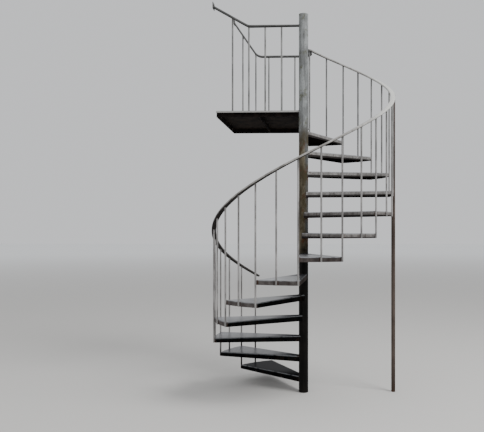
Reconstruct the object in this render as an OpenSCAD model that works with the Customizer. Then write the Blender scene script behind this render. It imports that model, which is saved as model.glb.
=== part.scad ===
// Spiral staircase of painted steel: a centre pole, wedge-shaped pan treads welded
// round it, thin round balusters, a helical handrail, and a railed landing at the top.
// Origin at the centre of the pole's foot, +Z up, going up turns anticlockwise from above.
// The landing lies to -X and +Y of the pole, and its -X edge meets the building.

/* [Pole] */
// Outer diameter of the centre pole
pole_d = 88.9; // [70:0.1:120]
// How far the pole's flat top stands above the centre of the landing's rails
pole_over_rail = 100; // [40:5:400]

/* [Treads] */
// Distance from the pole's axis to the curved outer edge of a tread
tread_reach = 838; // [600:1:1000]
// Rise from one tread to the next
riser = 195; // [180:1:215]
// Height of the first tread's top above the ground
first_rise = 150; // [120:1:200]
// Number of treads below the landing
tread_count = 13; // [13:1:13]
// Turn from one tread to the next, in degrees
step_angle = 25.5; // [22:0.1:28]
// Direction of the top tread's back edge, in degrees from +X
last_back_angle = 89.2; // [85:0.1:90]
// How far a tread's nosing reaches over the tread below, in degrees
tread_lap = 1.2; // [0.5:0.1:3]
// Width of a tread where it meets the pole's axis
tread_root_w = 66; // [40:1:80]
// Thickness of the tread plate and its turned-down edges
tread_plate = 5; // [4:0.5:8]
// Outer radius of the bends at the straight edges of treads and deck
plate_bend_r = 9; // [7:0.5:10]
// Outer radius of the bend at a tread's curved end
tip_bend_r = 7; // [6:0.5:8]
// Depth of a tread's edge at its outer end
tread_tip_depth = 41; // [30:1:60]
// Depth of a tread's edge at the pole
tread_root_depth = 53; // [35:1:80]

/* [Railing] */
// Height of the rails' centre above the landing
guard_h = 815; // [760:1:950]
// Height of the handrail's centre above the second tread, at the first tread's corner
guard_foot_h = 835; // [760:1:950]
// Diameter of the handrail tube
rail_d = 33.4; // [28:0.1:42]
// Diameter of a baluster
bar_d = 15.9; // [12:0.1:20]
// Distance from a tread's back corner to the centre of its corner baluster
bar_inset = 12; // [8:0.5:20]
// How far the lower end of the handrail runs past the first baluster
rail_start_run = 45; // [20:1:80]

/* [Support post] */
// Diameter of the outer support post
support_d = 38.1; // [30:0.1:50]
// Direction of the outer support post, in degrees from +X
support_angle = 3.2; // [1:0.1:8]

/* [Landing] */
// Length of the landing's front edge, from the pole's axis to the building
landing_w = 838; // [750:1:1000]
// Depth of the landing from front edge to back edge
landing_depth = 1130; // [950:1:1300]
// How far the front edge lies in front of the pole's axis
landing_front = 10; // [0:1:40]
// How far the landing reaches past the pole's axis over the top tread
landing_over = 4; // [0:1:14]
// Thickness of the landing's deck plate
deck_plate = 6; // [4:0.5:10]
// Depth of the deck's turned-down lip
deck_lip = 19; // [12:1:30]
// Depth of the flat bars under the deck
beam_depth = 50; // [40:1:80]
// Thickness of the flat bars under the deck
beam_t = 8; // [6:0.5:12]
// How far the flat bars stand in from the deck's edge
beam_inset = 26; // [20:1:50]
// Number of cross bars under the deck
cross_bars = 2; // [1:1:4]

/* [Landing rails] */
// Distance from the deck's edge to the centre of its balusters and rails
deck_bar_inset = 15; // [10:1:30]
// Distance from the pole's axis to the first baluster of the front rail
front_first_bar = 210; // [150:1:250]
// Distance between balusters on the landing's front edge
front_bar_pitch = 157; // [120:1:180]
// Number of balusters on the landing's front edge
front_bar_count = 4; // [3:1:4]
// Distance from the pole's axis to the first baluster of the back rail
back_first_bar = 152; // [80:1:160]
// Distance between balusters along the landing's back edge
back_bar_pitch = 147; // [120:1:170]
// Number of balusters along the landing's back edge
back_bar_count = 5; // [3:1:5]
// Distance from the pole's axis to the bend of the front rail
front_bend = 527; // [400:1:600]
// Distance from the pole's axis to the wall end of the front rail
front_end = 868; // [838:1:900]
// Height that the front rail climbs from its bend to its wall end
front_climb = 190; // [100:1:260]
// Distance from the pole's axis to the bend of the back rail
back_bend = 568; // [450:1:620]
// Distance from the pole's axis to the wall end of the back rail
back_end = 840; // [838:1:900]
// Height that the back rail climbs from its bend to its wall end
back_climb = 385; // [200:1:420]
// Radius of the bends in the rails, to the tube's centre
rail_bend_r = 100; // [50:1:120]

/* [Fastenings] */
// Width of the plate at a rail's wall end
plate_w = 84; // [70:1:100]
// Height of the plate at a rail's wall end
plate_h = 60; // [50:1:80]
// Thickness of the plate at a rail's wall end
plate_t = 6; // [4:0.5:10]
// Distance between the two screw holes of a rail's end plate
plate_hole_pitch = 58; // [50:1:70]
// Diameter of the screw holes in a rail's end plate
plate_hole_d = 7; // [5:0.5:9]
// Distance between the two bolt holes in the landing's wall bar
wall_bolt_pitch = 700; // [400:10:900]
// Diameter of the bolt holes in the landing's wall bar
wall_bolt_d = 14; // [10:0.5:18]

/* [Hidden] */
// Clearance between a bar and the piece that it is welded to
seat = 0.3;
$fn = 48;
// Segments of a full circle as wide as the treads, and of the bend at a plate's edge
arc_fn = 360;
bend_steps = 4;
steel = "#6f6a63";
steel_light = "#8f8c86";
steel_dark = "#4e4a45";

tread_span = step_angle + tread_lap;
rail_reach = tread_reach + seat + bar_d / 2;
bar_inset_angle = bar_inset / rail_reach * 180 / PI;
landing_top = first_rise + tread_count * riser;
guard_z = landing_top + guard_h;
pole_h = guard_z + pole_over_rail;
deck_front_y = -landing_front;
deck_back_y = landing_depth - landing_front;
front_rail_y = deck_front_y + deck_bar_inset;
back_rail_y = deck_back_y - deck_bar_inset;

// Angles count up from the first tread to the last, whose back edge is one full turn on
function back_angle(n) = last_back_angle + 360 - (tread_count - n) * step_angle;
function middle_angle(n) = back_angle(n) - tread_span / 2;
function corner_angle(n) = back_angle(n) - bar_inset_angle;
function tread_top(n) = first_rise + (n - 1) * riser;

// The handrail climbs evenly from the first tread's corner baluster to the last one's
rail_from = middle_angle(1) - rail_start_run / rail_reach * 180 / PI;
rail_to = corner_angle(tread_count);
rail_climb = (guard_z - tread_top(2) - guard_foot_h) / (rail_to - corner_angle(1));
rail_slope = atan(rail_climb * 180 / PI / rail_reach);
rail_drop = rail_d / 2 / cos(rail_slope) + seat;
function rail_z(angle) = guard_z - rail_climb * (rail_to - angle);
function on_circle(angle, r, z) = [r * cos(angle), r * sin(angle), z];
rail_corner = on_circle(rail_to, rail_reach, guard_z);

rail_sections = 6;
rings_per_section = 18;
bend_rings = 8;
rail_sides = 12;

module centre_pole() {
    color(steel)
        cylinder(h = pole_h, d = pole_d);
}

// The room that the pole takes in whatever is coped round it
module pole_room() {
    translate([0, 0, -pole_d])
        cylinder(h = pole_h + 2 * pole_d, d = pole_d);
}

// Quarter round of a bent plate's edge, which would meet at the origin if it were square
function bend_arc(r) =
    [for (i = [0:bend_steps]) let (a = 90 * i / bend_steps) r * [cos(a) - 1, sin(a) - 1]];

// Outline of a slab seen on end, with its bent edge at x = 0 and z = h
function slab_outline(w, h, r) =
    concat([[-w, 0], [0, 0]], [for (p = bend_arc(r)) p + [0, h]], [[-w, h]]);

// Direction of a tread's side, from its end at the pole to its outer corner
tread_side = tread_reach * [cos(tread_span / 2), sin(tread_span / 2)] - [0, tread_root_w / 2];
side_angle = atan2(tread_side.y, tread_side.x);

// Slab to the right of a tread's left side, with that side's edge bent over
module tread_slab(h) {
    translate([0, tread_root_w / 2, 0])
        rotate([0, 0, side_angle])
            translate([-plate_bend_r, 0, 0])
                rotate([90, 0, 90])
                    linear_extrude(1.1 * tread_reach)
                        polygon(slab_outline(tread_reach, h, plate_bend_r));
}

// Solid tread about its middle line: two crossed slabs inside a disc with a bent edge
module tread_block(h) {
    intersection() {
        tread_slab(h);
        mirror([0, 1, 0])
            tread_slab(h);
        rotate_extrude($fn = arc_fn)
            polygon([for (p = slab_outline(tread_reach, h, tip_bend_r)) p + [tread_reach, 0]]);
    }
}

// Room under a tread's plate, between its turned-down edges
module tread_room(h) {
    along = tread_side / norm(tread_side);
    root = [0, tread_root_w / 2] + tread_plate * [along.y, -along.x];
    start = root + along * (tread_plate - root.x) / along.x;
    end = root + along * 1.1 * tread_reach;
    intersection() {
        linear_extrude(h)
            polygon([[start.x, -start.y], start, end, [end.x, -end.y]]);
        cylinder(h = h, r = tread_reach - tread_plate, $fn = arc_fn);
    }
}

// Pan tread: a plate with its edges turned down, deeper at the pole than at the tip
module tread(n) {
    slope = atan((tread_root_depth - tread_tip_depth) / tread_reach);
    color(steel)
        rotate([0, 0, middle_angle(n)])
            translate([0, 0, tread_top(n)])
                difference() {
                    translate([0, 0, -tread_root_depth])
                        tread_block(tread_root_depth);
                    translate([0, 0, -tread_root_depth - tread_plate])
                        tread_room(tread_root_depth);
                    translate([0, 0, -tread_root_depth])
                        rotate([0, -slope, 0])
                            translate([-tread_reach / 2, -tread_reach, -tread_reach])
                                cube([tread_reach * 2, tread_reach * 2, tread_reach]);
                    translate([0, 0, -tread_top(n)])
                        pole_room();
                }
}

// Upright bar whose top is cut to the slope of the handrail above it
module rail_bar(angle, reach, bottom, d) {
    top = rail_z(angle) - rail_drop;
    rotate([0, 0, angle])
        translate([reach, 0, bottom])
            difference() {
                cylinder(h = top - bottom + d, d = d);
                translate([0, 0, top - bottom])
                    rotate([rail_slope, 0, 0])
                        translate([-d, -2 * d, 0])
                            cube([2 * d, 4 * d, 4 * d]);
            }
}

// Two bars on a tread's outer edge: one at its middle and one at its back corner
module balusters(n) {
    color(steel_light)
        for (angle = [middle_angle(n), corner_angle(n)])
            rail_bar(angle, rail_reach, tread_top(n) - tread_tip_depth, bar_d);
}

// Post outside the tenth tread, from the ground to the handrail
module support_post() {
    color(steel)
        rail_bar(support_angle + 360, tread_reach + seat + support_d / 2, 0, support_d);
}

// Ring of points round a tube's centre line, in the plane square to the line
function ring(centre, along, out) =
    let (up = cross(out, along))
    [for (s = [0:rail_sides - 1])
        let (a = 360 * (s + 0.5) / rail_sides)
        centre + rail_d / 2 * (cos(a) * out + sin(a) * up)];

// The same ring slid along the tube onto a slanting plane through a point
function cut_ring(centre, along, out, point, normal) =
    [for (p = ring(centre, along, out)) p + along * ((point - p) * normal) / (along * normal)];

// Closed tube through a list of rings
module tube(rings) {
    last = len(rings) - 1;
    walls = [for (i = [0:last - 1]) for (s = [0:rail_sides - 1])
        let (t = (s + 1) % rail_sides)
        [i * rail_sides + s, (i + 1) * rail_sides + s, (i + 1) * rail_sides + t, i * rail_sides + t]];
    first_end = [for (s = [0:rail_sides - 1]) s];
    last_end = [for (s = [rail_sides - 1:-1:0]) last * rail_sides + s];
    polyhedron([for (r = rings) each r], concat(walls, [first_end], [last_end]), convexity = 4);
}

// Direction of the handrail, and its mitre against the level rail at the top of the flight
function helix_along(angle) =
    [-cos(rail_slope) * sin(angle), cos(rail_slope) * cos(angle), sin(rail_slope)];
mitre_normal = helix_along(rail_to) + [0, 1, 0];

// Handrail lengths are numbered from the bottom, and the last one ends in the mitre
module handrail(k) {
    turn = (rail_to - rail_from) / rail_sections;
    last = k < rail_sections ? rings_per_section : rings_per_section - 1;
    function helix_ring(angle) =
        ring(on_circle(angle, rail_reach, rail_z(angle)), helix_along(angle), on_circle(angle, 1, 0));
    rings = [for (i = [0:last]) helix_ring(rail_from + turn * (k - 1 + i / rings_per_section))];
    mitre = cut_ring(rail_corner, helix_along(rail_to), on_circle(rail_to, 1, 0), rail_corner, mitre_normal);
    color(steel_light)
        tube(k < rail_sections ? rings : concat(rings, [mitre]));
}

// Rings of a level rail that bends upwards and ends square against an upright wall
function climbing_rings(y, bend, end, climb) =
    let (angle = atan(climb / (end - bend)),
        start = -bend + rail_bend_r * tan(angle / 2),
        wall = [-end + plate_t, y, guard_z + climb],
        along = [-cos(angle), 0, sin(angle)])
    concat(
        [for (i = [0:bend_rings])
            let (a = angle * i / bend_rings)
            ring([start - rail_bend_r * sin(a), y, guard_z + rail_bend_r * (1 - cos(a))],
                [-cos(a), 0, sin(a)], [0, 1, 0])],
        [cut_ring(wall - along * plate_t / cos(angle), along, [0, 1, 0], wall, [1, 0, 0])]);

// Front rail: welded to the pole, level over the landing's edge, then up to the building
module front_rail() {
    color(steel_light)
        difference() {
            tube(concat([ring([0, front_rail_y, guard_z], [-1, 0, 0], [0, 1, 0])],
                climbing_rings(front_rail_y, front_bend, front_end, front_climb)));
            pole_room();
        }
}

// Back rail: on from the handrail to the landing's back corner, along its back, then up
module back_rail() {
    corner = [rail_corner.x - rail_bend_r, back_rail_y - rail_bend_r];
    color(steel_light)
        tube(concat([cut_ring(rail_corner, [0, 1, 0], [1, 0, 0], rail_corner, mitre_normal)],
            [for (i = [0:bend_rings])
                let (a = 90 * i / bend_rings)
                ring([corner.x + rail_bend_r * cos(a), corner.y + rail_bend_r * sin(a), guard_z],
                    [-sin(a), cos(a), 0], [cos(a), sin(a), 0])],
            climbing_rings(back_rail_y, back_bend, back_end, back_climb)));
}

// Plate welded to a rail's wall end, with a screw hole on each side of the tube
module rail_plate(y, end, climb) {
    color(steel_light)
        translate([-end, y, guard_z + climb])
            difference() {
                translate([0, -plate_w / 2, -plate_h / 2])
                    cube([plate_t, plate_w, plate_h]);
                for (side = [-1, 1])
                    translate([-plate_t, side * plate_hole_pitch / 2, 0])
                        rotate([0, 90, 0])
                            cylinder(h = 3 * plate_t, d = plate_hole_d);
            }
}

module front_rail_plate() {
    rail_plate(front_rail_y, front_end, front_climb);
}

module back_rail_plate() {
    rail_plate(back_rail_y, back_end, back_climb);
}

// What a bend takes off a plate's square edge, laid along +X with the edge at the origin
module bend_waste(length) {
    rotate([90, 0, 90])
        linear_extrude(length)
            polygon(concat([[1, 1], [1, -plate_bend_r]], bend_arc(plate_bend_r), [[-plate_bend_r, 1]]));
}

// Deck plate with its three free edges bent down to a lip, coped round the pole
module landing_deck() {
    inner_w = landing_w + landing_over - deck_plate;
    past = landing_w + landing_depth;
    free_edges = [[0, deck_back_y, 0], [0, deck_front_y, 180], [landing_over, 0, -90]];
    color(steel)
        difference() {
            translate([-landing_w, deck_front_y, landing_top - deck_lip])
                cube([landing_w + landing_over, landing_depth, deck_lip]);
            translate([-landing_w - inner_w, deck_front_y + deck_plate, landing_top - deck_lip - deck_plate])
                cube([2 * inner_w, landing_depth - 2 * deck_plate, deck_lip]);
            for (edge = free_edges)
                translate([edge.x, edge.y, landing_top])
                    rotate([0, 0, edge.z])
                        translate([-past, 0, 0])
                            bend_waste(2 * past);
            pole_room();
        }
}

beam_top = landing_top - deck_plate;
beam_front_y = deck_front_y + beam_inset;
beam_back_y = deck_back_y - beam_inset;
beam_x0 = -landing_w + beam_t;
beam_x1 = landing_over - beam_inset;

// Flat bars on edge under the front and back of the deck
module landing_edge_beams() {
    color(steel_dark)
        difference() {
            for (y = [beam_front_y, beam_back_y - beam_t])
                translate([beam_x0, y, beam_top - beam_depth])
                    cube([beam_x1 - beam_x0, beam_t, beam_depth]);
            pole_room();
        }
}

// Flat bars on edge between the front and back ones, the last at the landing's free side
module landing_cross_beams() {
    pitch = (beam_x1 - beam_t - beam_x0) / cross_bars;
    color(steel_dark)
        difference() {
            for (i = [1:cross_bars])
                translate([beam_x0 + i * pitch, beam_front_y + beam_t, beam_top - beam_depth])
                    cube([beam_t, beam_back_y - beam_front_y - 2 * beam_t, beam_depth]);
            pole_room();
        }
}

// Flat bar on edge at the building's face, drilled for two bolts
module landing_wall_bar() {
    color(steel_dark)
        difference() {
            translate([-landing_w, beam_front_y, beam_top - beam_depth])
                cube([beam_t, beam_back_y - beam_front_y, beam_depth]);
            for (side = [-1, 1])
                translate([-landing_w - beam_t,
                    (deck_front_y + deck_back_y + side * wall_bolt_pitch) / 2, beam_top - beam_depth / 2])
                    rotate([0, 90, 0])
                        cylinder(h = 3 * beam_t, d = wall_bolt_d);
        }
}

// Bar on the deck, its top cut to the slope of the rail above it
module deck_bar(x, y, bend, end, climb) {
    slope = x > bend ? atan(climb / (end - bend)) : 0;
    top = guard_h + max(0, x - bend) * climb / (end - bend) - rail_d / 2 / cos(slope) - seat;
    translate([-x, y, landing_top])
        difference() {
            cylinder(h = top + 2 * bar_d, d = bar_d);
            translate([0, 0, top])
                rotate([0, slope, 0])
                    translate([-4 * bar_d, -bar_d, 0])
                        cube([8 * bar_d, 2 * bar_d, 4 * bar_d]);
        }
}

module front_balusters() {
    color(steel_light)
        for (i = [0:front_bar_count - 1])
            deck_bar(front_first_bar + i * front_bar_pitch, front_rail_y, front_bend, front_end, front_climb);
}

// One more bar stands under the middle of the rail's rounded corner
module back_balusters() {
    side = rail_bend_r * (1 - cos(45));
    color(steel_light) {
        for (i = [0:back_bar_count - 1])
            deck_bar(back_first_bar + i * back_bar_pitch, back_rail_y, back_bend, back_end, back_climb);
        deck_bar(side - rail_corner.x, back_rail_y - side, back_bend, back_end, back_climb);
    }
}

centre_pole();
tread(1);  // tread_01
tread(2);  // tread_02
tread(3);  // tread_03
tread(4);  // tread_04
tread(5);  // tread_05
tread(6);  // tread_06
tread(7);  // tread_07
tread(8);  // tread_08
tread(9);  // tread_09
tread(10);  // tread_10
tread(11);  // tread_11
tread(12);  // tread_12
tread(13);  // tread_13
balusters(1);  // balusters_01
balusters(2);  // balusters_02
balusters(3);  // balusters_03
balusters(4);  // balusters_04
balusters(5);  // balusters_05
balusters(6);  // balusters_06
balusters(7);  // balusters_07
balusters(8);  // balusters_08
balusters(9);  // balusters_09
balusters(10);  // balusters_10
balusters(11);  // balusters_11
balusters(12);  // balusters_12
balusters(13);  // balusters_13
handrail(1);  // handrail_1
handrail(2);  // handrail_2
handrail(3);  // handrail_3
handrail(4);  // handrail_4
handrail(5);  // handrail_5
handrail(6);  // handrail_6
support_post();
landing_deck();
landing_edge_beams();
landing_cross_beams();
landing_wall_bar();
front_rail();
back_rail();
front_rail_plate();
back_rail_plate();
front_balusters();
back_balusters();
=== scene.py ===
import math

import bmesh
import bpy
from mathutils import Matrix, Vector


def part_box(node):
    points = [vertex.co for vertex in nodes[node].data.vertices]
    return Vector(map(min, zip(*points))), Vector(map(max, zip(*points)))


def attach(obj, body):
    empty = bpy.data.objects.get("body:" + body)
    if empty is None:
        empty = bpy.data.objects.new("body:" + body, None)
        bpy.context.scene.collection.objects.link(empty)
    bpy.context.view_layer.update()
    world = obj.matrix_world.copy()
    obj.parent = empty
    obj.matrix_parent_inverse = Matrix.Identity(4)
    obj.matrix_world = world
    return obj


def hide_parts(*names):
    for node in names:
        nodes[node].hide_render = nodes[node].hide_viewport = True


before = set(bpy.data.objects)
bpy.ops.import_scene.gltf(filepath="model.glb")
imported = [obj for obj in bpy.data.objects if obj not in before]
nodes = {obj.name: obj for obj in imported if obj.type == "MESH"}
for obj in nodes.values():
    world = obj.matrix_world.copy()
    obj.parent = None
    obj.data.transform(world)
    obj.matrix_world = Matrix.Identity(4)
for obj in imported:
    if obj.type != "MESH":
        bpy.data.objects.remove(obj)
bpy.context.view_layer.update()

# The view. The camera stands level at eye height in front of the stair, and its shift only
# puts the stair where the photograph has it. A pale floor, an even pale sky and two large
# soft lights, the stronger one high on the right, give open shade.
PICTURE = (484, 432)
PICTURE_FOCUS = 648.84
PICTURE_AXIS = (309.65, 228.91)
EYE = (0.309, -6.181, 1.5535)
TURN_LEFT = math.radians(2.32)
SKY_COLOUR = (0.88, 0.89, 0.91)
SKY_STRENGTH = 0.85

camera_data = bpy.data.cameras.new("camera")
camera_data.sensor_width = 36.0
camera_data.lens = PICTURE_FOCUS / PICTURE[0] * camera_data.sensor_width
camera_data.shift_x = (PICTURE[0] / 2 - PICTURE_AXIS[0]) / PICTURE[0]
camera_data.shift_y = (PICTURE_AXIS[1] - PICTURE[1] / 2) / PICTURE[0]
camera = bpy.data.objects.new("camera", camera_data)
camera.location = EYE
camera.rotation_euler = (math.pi / 2, 0.0, TURN_LEFT)
bpy.context.scene.collection.objects.link(camera)
bpy.context.scene.camera = camera

sky = bpy.data.worlds.new("sky")
sky.use_nodes = True
sky_shader = sky.node_tree.nodes["Background"]
sky_shader.inputs["Color"].default_value = (*SKY_COLOUR, 1.0)
sky_shader.inputs["Strength"].default_value = SKY_STRENGTH
bpy.context.scene.world = sky


def soft_light(name, place, aim, size, power):
    """A square area light that points at a spot on the stair."""
    data = bpy.data.lights.new(name, "AREA")
    data.size = size
    data.energy = power
    light = bpy.data.objects.new(name, data)
    light.location = place
    light.rotation_euler = (Vector(aim) - Vector(place)).to_track_quat("-Z", "Y").to_euler()
    bpy.context.scene.collection.objects.link(light)


soft_light("key_light", place=(4.5, -3.0, 7.5), aim=(0.0, 0.0, 1.8), size=3.0, power=600.0)
soft_light("fill_light", place=(-6.0, -4.0, 3.5), aim=(0.0, 0.0, 1.6), size=4.0, power=90.0)


# The centre pole is one length of steel pipe, 89 mm across, set upright and painted grey
# where it stands. Its head is painted pale for the light on it, the middle has lost paint to
# rust below each tread's weld, and the foot is painted black for the shade it stands in.
class Wire:
    """A socket's output that can be used in a sum, which adds its Math nodes."""

    def __init__(self, graph, socket):
        self.graph = graph
        self.socket = socket

    def maths(self, operation, *others):
        return self.graph.maths(operation, self, *others)

    def __add__(self, other):
        return self.graph.maths("ADD", self, other)

    def __radd__(self, other):
        return self.graph.maths("ADD", other, self)

    def __sub__(self, other):
        return self.graph.maths("SUBTRACT", self, other)

    def __rsub__(self, other):
        return self.graph.maths("SUBTRACT", other, self)

    def __mul__(self, other):
        return self.graph.maths("MULTIPLY", self, other)

    def __rmul__(self, other):
        return self.graph.maths("MULTIPLY", other, self)

    def __truediv__(self, other):
        return self.graph.maths("DIVIDE", self, other)

    def __neg__(self):
        return 0.0 - self


class Graph:
    """A node tree that nodes are added to one by one."""

    def __init__(self, tree):
        self.tree = tree

    def node(self, kind, settings=None, inputs=None, output=0):
        node = self.tree.nodes.new(kind)
        for key, value in (settings or {}).items():
            setattr(node, key, value)
        for key, value in (inputs or {}).items():
            if isinstance(value, Wire):
                self.tree.links.new(value.socket, node.inputs[key])
            else:
                node.inputs[key].default_value = value
        return Wire(self, node.outputs[output])

    def maths(self, operation, *values):
        return self.node("ShaderNodeMath", {"operation": operation}, dict(enumerate(values)))


class Paint(Graph):
    """A material on the object's own coordinates, in metres."""

    def __init__(self, name):
        self.material = bpy.data.materials.new(name)
        self.material.use_nodes = True
        super().__init__(self.material.node_tree)
        self.tree.nodes.clear()
        self.place = self.node("ShaderNodeTexCoord", output="Object")
        self.x, self.y, self.z = self.parts(self.place)
        facing = self.node("ShaderNodeNewGeometry", output="Normal")
        self.facing_x, self.facing_y, self.up = self.parts(facing)

    def parts(self, vector):
        """A vector's parts along X, Y and Z."""
        along_x = self.node("ShaderNodeSeparateXYZ", inputs={0: vector})
        return [Wire(self, socket) for socket in along_x.socket.node.outputs]

    def noise(self, scale, detail=4.0, roughness=0.6, stretch=(1.0, 1.0, 1.0)):
        vector = self.node("ShaderNodeMapping", inputs={"Vector": self.place, "Scale": stretch})
        return self.node("ShaderNodeTexNoise", inputs={
            "Vector": vector, "Scale": scale, "Detail": detail, "Roughness": roughness})

    def above(self, value, low, high):
        """0 up to low, 1 from high on, and smooth in between."""
        return self.node("ShaderNodeMapRange", {"interpolation_type": "SMOOTHSTEP"}, {
            "Value": value, "From Min": low, "From Max": high})

    def below(self, value, low, high):
        """1 up to low, 0 from high on, and smooth in between."""
        return 1.0 - self.above(value, low, high)

    def mix(self, share, first, second):
        """The first colour with a share of the second."""
        first, second = (c if isinstance(c, Wire) else (*c, 1.0) for c in (first, second))
        # Inputs 6 and 7 and output 2 are the Mix node's colours.
        return self.node("ShaderNodeMix", {"data_type": "RGBA"}, {
            "Factor": share, 6: first, 7: second}, output=2)

    def mottled(self, pattern, low, high, first, second):
        """The first colour where a pattern is low and the second where it is high."""
        return self.mix(self.above(pattern, low, high), first, second)

    def coat(self, colour, roughness, height, relief, shine, polish=0.0):
        """Ends the material: a painted surface with relief in metres."""
        bump = self.node("ShaderNodeBump", inputs={"Strength": 1.0, "Distance": relief, "Height": height})
        shader = self.node("ShaderNodeBsdfPrincipled", inputs={
            "Base Color": colour, "Roughness": roughness, "Specular IOR Level": shine,
            "Coat Weight": polish, "Coat Roughness": 0.30, "Normal": bump})
        end = self.tree.nodes.new("ShaderNodeOutputMaterial")
        self.tree.links.new(shader.socket, end.inputs["Surface"])
        return self.material


RUST_DARK = (0.026, 0.013, 0.008)
RUST_LIGHT = (0.110, 0.046, 0.020)
GRIME = (0.010, 0.009, 0.008)
FLAKE_DEPTH = 0.0006


def weathered(paint, colour, rust, rough=0.40, shine=0.2, polish=0.0):
    """Specks of grime, flaked patches of rust and brush marks over a coat's own colour."""
    patch = paint.noise(23.0, 7.0, 0.68)
    grain = paint.noise(210.0, 3.0, 0.7)
    speck = paint.above(paint.noise(120.0, 2.0), 0.58, 0.70)
    colour = paint.mix(speck * 0.45, colour, GRIME)
    threshold = 0.74 - rust * 0.20
    flake = paint.noise(34.0, 9.0, 0.74)
    rusty = paint.above(flake - threshold, 0.0, 0.035)
    halo = paint.above(flake - threshold, -0.06, 0.02)
    colour = paint.mix(halo * 0.35, colour, RUST_DARK)
    colour = paint.mix(rusty, colour, paint.mottled(grain, 0.35, 0.65, RUST_DARK, RUST_LIGHT))
    underside = paint.above(-paint.up, 0.20, 0.70)
    roughness = patch * 0.25 + rusty * 0.30 + underside * 0.40 + rough
    height = grain * 0.3 + patch * 0.7 + rusty * (paint.noise(330.0) - 1.2)
    return paint.coat(colour, roughness, height, FLAKE_DEPTH, shine, polish)


def dress(material, *names):
    """Gives CAD nodes their material."""
    for name in names:
        for slot in nodes[name].material_slots:
            slot.material = material


TREADS = 13
STEP = math.radians(25.5)
SPREAD = math.radians(26.7)
LAST_BACK = math.radians(360.0 + 89.2)
FIRST_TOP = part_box("tread_01")[1].z
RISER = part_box("tread_02")[1].z - FIRST_TOP
POLE_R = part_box("centre_pole")[1].x
POLE_BLACK_TO = (1.24, 1.40)
POLE_RUSTY_FROM = (1.30, 1.45)
POLE_LIT_FROM = (2.28, 2.58)


def tread_turn(number):
    """Direction of a tread's middle line from the pole."""
    return LAST_BACK - SPREAD / 2 - (TREADS - number) * STEP


def tread_top(number):
    return FIRST_TOP + (number - 1) * RISER


def pole_paint():
    paint = Paint("pole_paint")
    blotch = paint.noise(9.0, 6.0, 0.62, (1.0, 1.0, 0.6))
    streak = paint.noise(1.0, 5.0, 0.6, (46.0, 46.0, 2.2))

    greened = paint.above(paint.noise(14.0, 8.0, 0.7), 0.54, 0.66) * 0.7
    # Painted light: the head's paler greys stand for light falling on it; the green patches are algae.
    lit_head = paint.mottled(blotch, 0.40, 0.60, (0.145, 0.150, 0.150), (0.250, 0.262, 0.262))
    lit_head = paint.mix(greened, lit_head, (0.085, 0.088, 0.045))
    reddened = paint.above(paint.noise(17.0, 6.0, 0.7), 0.55, 0.63) * 0.7
    stained = paint.mottled(blotch, 0.42, 0.62, (0.050, 0.040, 0.022), (0.122, 0.105, 0.072))
    stained = paint.mix(reddened, stained, (0.078, 0.036, 0.020))
    # Painted light: the right side of the middle is tinted blue-grey for the sky light on it.
    sky_lit_side = paint.above(paint.x, 0.0, 0.035) * paint.above(blotch, 0.40, 0.60)
    stained = paint.mix(sky_lit_side * 0.8, stained, (0.080, 0.092, 0.100))
    # Painted shade: the foot is near black for the shade it stands in.
    black = paint.mottled(blotch, 0.40, 0.64, (0.0020, 0.0018, 0.0016), (0.0070, 0.0058, 0.0050))
    height = paint.z + (blotch - 0.5) * 0.5
    colour = paint.mix(paint.above(height, *POLE_BLACK_TO), black, stained)
    colour = paint.mix(paint.above(height, *POLE_LIT_FROM), colour, lit_head)
    colour = paint.mix(paint.above(streak, 0.50, 0.66) * 0.45, colour, GRIME)

    level = (paint.z - FIRST_TOP) / RISER
    tread = level.maths("CEIL")
    turn = tread * STEP + tread_turn(1)
    facing = (paint.x * turn.maths("COSINE") + paint.y * turn.maths("SINE")) / POLE_R
    drop = (tread - level) * RISER
    under_weld = paint.above(facing, 0.25, 0.75) * paint.below(drop, 0.05, 0.17)
    under_weld = under_weld * paint.below(paint.z, 2.50, 2.68)
    rusty = paint.above(paint.z, *POLE_RUSTY_FROM)
    run = paint.above(streak + under_weld * 0.17, 0.56, 0.68) * under_weld * rusty
    colour = paint.mix(run * 0.8, colour, (0.105, 0.045, 0.020))
    brown = rusty * paint.below(paint.z, 2.15, 2.45)
    rust = rusty * 0.25 + brown * 0.22 + 0.20 + under_weld * rusty * 0.20
    return weathered(paint, colour, rust, shine=0.09)


dress(pole_paint(), "centre_pole")


# The floor is plain and pale, and is no part of the stair. It grows paler with distance,
# so that it meets the sky without a hard edge.
FLOOR = 60.0
floor_corners = [(-FLOOR, -FLOOR, 0.0), (FLOOR, -FLOOR, 0.0), (FLOOR, FLOOR, 0.0), (-FLOOR, FLOOR, 0.0)]
floor_mesh = bpy.data.meshes.new("floor")
floor_mesh.from_pydata(floor_corners, [], [(0, 1, 2, 3)])
floor_paint = Paint("floor_paint")
distance = (floor_paint.x * floor_paint.x + floor_paint.y * floor_paint.y).maths("SQRT")
pale = floor_paint.mottled(distance, 5.0, 40.0, (0.58, 0.57, 0.55), (0.96, 0.97, 0.97))
floor_mesh.materials.append(floor_paint.coat(pale, 0.9, floor_paint.noise(9.0), relief=0.0004, shine=0.1))
floor = bpy.data.objects.new("floor", floor_mesh)
bpy.context.scene.collection.objects.link(floor)
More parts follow.
